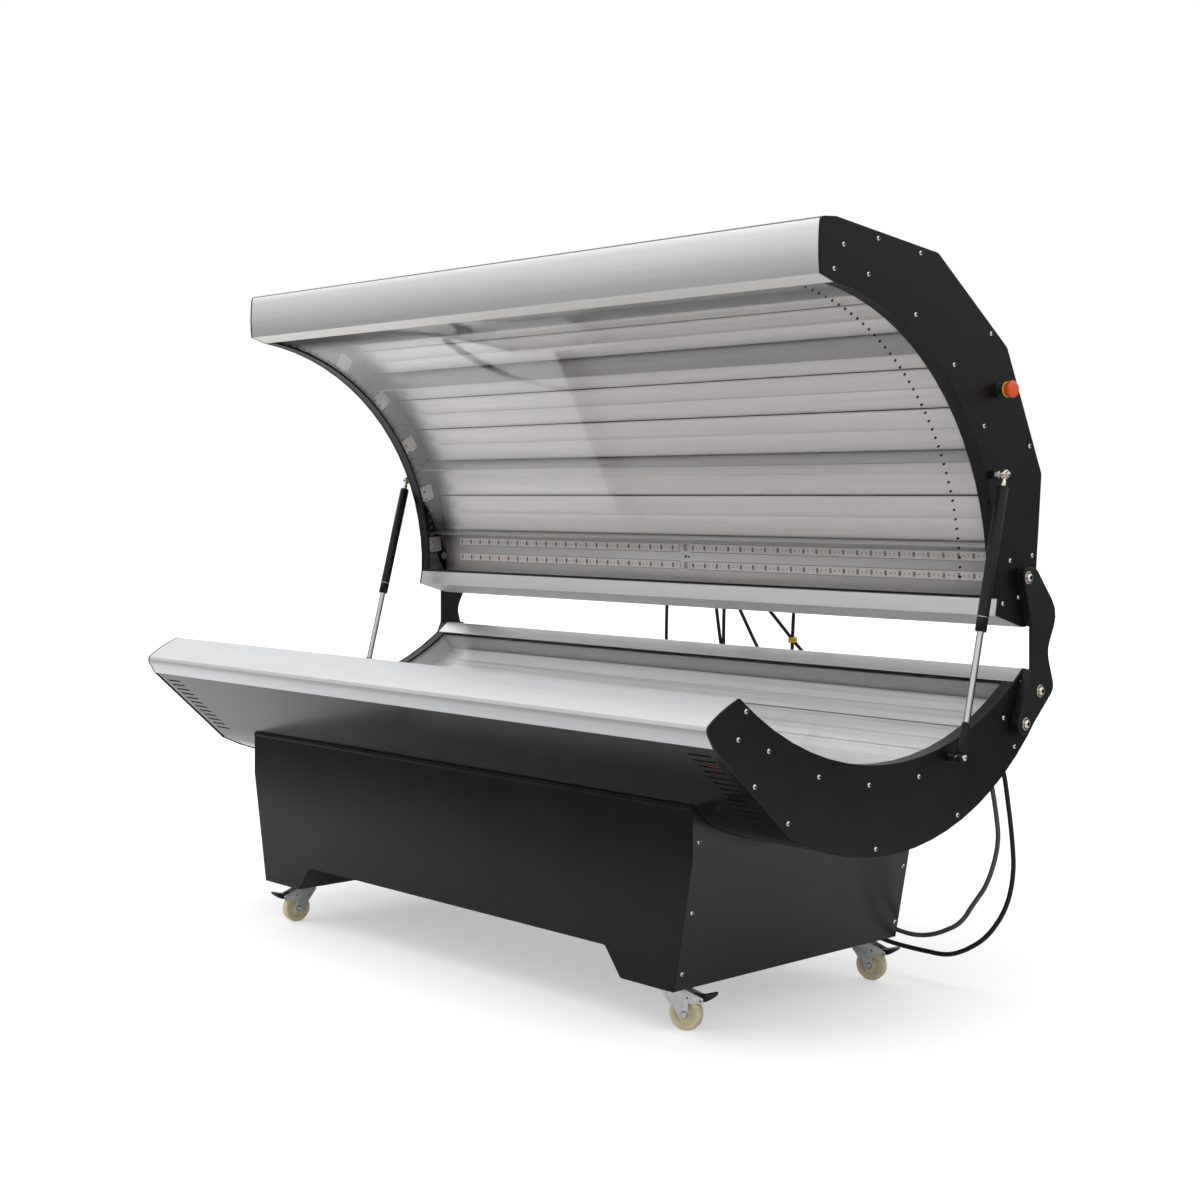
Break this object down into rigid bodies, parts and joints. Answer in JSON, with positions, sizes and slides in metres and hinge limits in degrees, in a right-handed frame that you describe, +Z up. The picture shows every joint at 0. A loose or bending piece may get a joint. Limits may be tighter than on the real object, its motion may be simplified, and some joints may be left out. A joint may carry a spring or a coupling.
{
  "type": "infrared light therapy bed",
  "caption": "Lie-in LED light therapy bed: a trough-shaped clear bed on a caster base, with a curved canopy that closes over it on rear hinge arms and gas struts.",
  "frame": {"origin": "on the floor, at the middle of the object's plan, cords left out", "axes": "+X along the bed towards the end with the emergency stop, -Y towards the open front, +Z up"},
  "size_m": [2.3008, 1.1713, 1.7675],
  "materials": {
    "black_sheet": "satin",
    "gloss_sheet": "gloss",
    "silver_rail": "satin",
    "clear_sheet": "gloss",
    "led_board": "satin",
    "supply_case": "satin",
    "nickel": "polished",
    "strut_rod": "polished",
    "strut_cylinder": "satin",
    "zinc": "satin",
    "wheel": "satin",
    "pedal": "satin",
    "black_cord": "matte",
    "grey_cord": "matte",
    "stop_collar": "satin",
    "stop_yellow": "gloss",
    "stop_red": "gloss"
  },
  "bodies": {
    "bed": {"base_front_panel": "gloss_sheet", "base_rear_panel": "black_sheet", "base_end_left": "black_sheet", "base_end_right": "black_sheet", "base_floor": "black_sheet", "power_supply": "supply_case", "bed_end_left": "black_sheet", "bed_end_right": "black_sheet", "bed_front_rail": "silver_rail", "bed_rear_rail": "silver_rail", "bed_acrylic": "clear_sheet", "bed_led_tray": "led_board", "bed_under_panel": "gloss_sheet", "hinge_arm_left": "black_sheet", "hinge_arm_right": "black_sheet", "hinge_stud_plate_left": "nickel", "hinge_stud_plate_right": "nickel", "pivot_bolt_left": "nickel", "pivot_bolt_right": "nickel", "strut_stud_left": "nickel", "strut_stud_right": "nickel", "caster_plate_front_left": "zinc", "caster_plate_front_right": "zinc", "caster_plate_rear_left": "zinc", "caster_plate_rear_right": "zinc", "power_cord": "black_cord", "lamp_cord": "grey_cord", "rear_cable_1": "black_cord", "rear_cable_2": "black_cord", "rear_cable_3": "black_cord", "tied_cables": "black_cord"},
    "canopy": {"canopy_end_left": "black_sheet", "canopy_end_right": "black_sheet", "canopy_front_rail": "silver_rail", "canopy_rear_rail": "silver_rail", "canopy_back_cover": "black_sheet", "canopy_acrylic": "clear_sheet", "canopy_led_board_1": "led_board", "canopy_led_board_2": "led_board", "canopy_led_board_3": "led_board", "canopy_led_board_4": "led_board", "estop_collar": "stop_collar"},
    "estop_stem": {"estop_stem": "stop_yellow"},
    "estop_cap": {"estop_cap": "stop_red"},
    "strut_rod_left": {"strut_rod_left": "strut_rod"},
    "strut_cylinder_left": {"strut_cylinder_left": "strut_cylinder"},
    "strut_rod_right": {"strut_rod_right": "strut_rod"},
    "strut_cylinder_right": {"strut_cylinder_right": "strut_cylinder"},
    "caster_fork_front_left": {"caster_fork_front_left": "zinc"},
    "caster_wheel_front_left": {"caster_wheel_front_left": "wheel"},
    "caster_pedal_front_left": {"caster_pedal_front_left": "pedal"},
    "caster_fork_front_right": {"caster_fork_front_right": "zinc"},
    "caster_wheel_front_right": {"caster_wheel_front_right": "wheel"},
    "caster_pedal_front_right": {"caster_pedal_front_right": "pedal"},
    "caster_fork_rear_left": {"caster_fork_rear_left": "zinc"},
    "caster_wheel_rear_left": {"caster_wheel_rear_left": "wheel"},
    "caster_pedal_rear_left": {"caster_pedal_rear_left": "pedal"},
    "caster_fork_rear_right": {"caster_fork_rear_right": "zinc"},
    "caster_wheel_rear_right": {"caster_wheel_rear_right": "wheel"},
    "caster_pedal_rear_right": {"caster_pedal_rear_right": "pedal"}
  },
  "joints": [
    {"name": "canopy_hinge", "type": "hinge", "parent": "bed", "child": "canopy", "pos_m": [0, 0.467, 0.987], "axis": [1, 0, 0], "range_deg": [0, 52], "deforming": ["rear_cable_1", "rear_cable_2", "rear_cable_3", "tied_cables"]},
    {"name": "strut_swing_left", "type": "hinge", "parent": "bed", "child": "strut_rod_left", "pos_m": [-1.137, 0.192, 0.595], "axis": [1, 0, 0], "range_deg": [0, 12.4]},
    {"name": "strut_slide_left", "type": "slide", "parent": "strut_rod_left", "child": "strut_cylinder_left", "axis": [0, 0.2526, 0.9676], "range_m": [-0.2, 0]},
    {"name": "strut_swing_right", "type": "hinge", "parent": "bed", "child": "strut_rod_right", "pos_m": [1.137, 0.192, 0.595], "axis": [1, 0, 0], "range_deg": [0, 12.4]},
    {"name": "strut_slide_right", "type": "slide", "parent": "strut_rod_right", "child": "strut_cylinder_right", "axis": [0, 0.2526, 0.9676], "range_m": [-0.2, 0]},
    {"name": "estop_press", "type": "slide", "parent": "canopy", "child": "estop_stem", "axis": [-1, 0, 0], "range_m": [0, 0.006], "stiffness_N_per_m": 2500},
    {"name": "estop_twist", "type": "hinge", "parent": "estop_stem", "child": "estop_cap", "pos_m": [1.1357, 0.385, 1.423], "axis": [1, 0, 0], "range_deg": [0, 45], "stiffness_Nm_per_rad": 0.2},
    {"name": "swivel_front_left", "type": "hinge", "parent": "bed", "child": "caster_fork_front_left", "pos_m": [-0.726, -0.3, 0.0904], "axis": [0, 0, 1], "continuous": true},
    {"name": "roll_front_left", "type": "hinge", "parent": "caster_fork_front_left", "child": "caster_wheel_front_left", "pos_m": [-0.7299, -0.32773, 0.0375], "axis": [0.9903, -0.1392, 0], "continuous": true},
    {"name": "pedal_front_left", "type": "hinge", "parent": "caster_fork_front_left", "child": "caster_pedal_front_left", "pos_m": [-0.73505, -0.36437, 0.07], "axis": [0.9903, -0.1392, 0], "range_deg": [0, 12]},
    {"name": "swivel_front_right", "type": "hinge", "parent": "bed", "child": "caster_fork_front_right", "pos_m": [0.726, -0.3, 0.0904], "axis": [0, 0, 1], "continuous": true},
    {"name": "roll_front_right", "type": "hinge", "parent": "caster_fork_front_right", "child": "caster_wheel_front_right", "pos_m": [0.75095, -0.28729, 0.0375], "axis": [-0.454, 0.891, 0], "continuous": true},
    {"name": "pedal_front_right", "type": "hinge", "parent": "caster_fork_front_right", "child": "caster_pedal_front_right", "pos_m": [0.78392, -0.27049, 0.07], "axis": [-0.454, 0.891, 0], "range_deg": [0, 12]},
    {"name": "swivel_rear_left", "type": "hinge", "parent": "bed", "child": "caster_fork_rear_left", "pos_m": [-0.726, 0.344, 0.0904], "axis": [0, 0, 1], "continuous": true},
    {"name": "roll_rear_left", "type": "hinge", "parent": "caster_fork_rear_left", "child": "caster_wheel_rear_left", "pos_m": [-0.73915, 0.36872, 0.0375], "axis": [-0.8829, -0.4695, 0], "continuous": true},
    {"name": "pedal_rear_left", "type": "hinge", "parent": "caster_fork_rear_left", "child": "caster_pedal_rear_left", "pos_m": [-0.75652, 0.40139, 0.07], "axis": [-0.8829, -0.4695, 0], "range_deg": [0, 12]},
    {"name": "swivel_rear_right", "type": "hinge", "parent": "bed", "child": "caster_fork_rear_right", "pos_m": [0.726, 0.344, 0.0904], "axis": [0, 0, 1], "continuous": true},
    {"name": "roll_rear_right", "type": "hinge", "parent": "caster_fork_rear_right", "child": "caster_wheel_rear_right", "pos_m": [0.75317, 0.35077, 0.0375], "axis": [-0.2419, 0.9703, 0], "continuous": true},
    {"name": "pedal_rear_right", "type": "hinge", "parent": "caster_fork_rear_right", "child": "caster_pedal_rear_right", "pos_m": [0.78907, 0.35973, 0.07], "axis": [-0.2419, 0.9703, 0], "range_deg": [0, 12]}
  ],
  "couplings": [
    {"joint": "strut_swing_left", "follows": "canopy_hinge", "ratio": 0.23726},
    {"joint": "strut_slide_left", "follows": "canopy_hinge", "m_per_rad": -0.22009},
    {"joint": "strut_swing_right", "follows": "canopy_hinge", "ratio": 0.23726},
    {"joint": "strut_slide_right", "follows": "canopy_hinge", "m_per_rad": -0.22009}
  ]
}
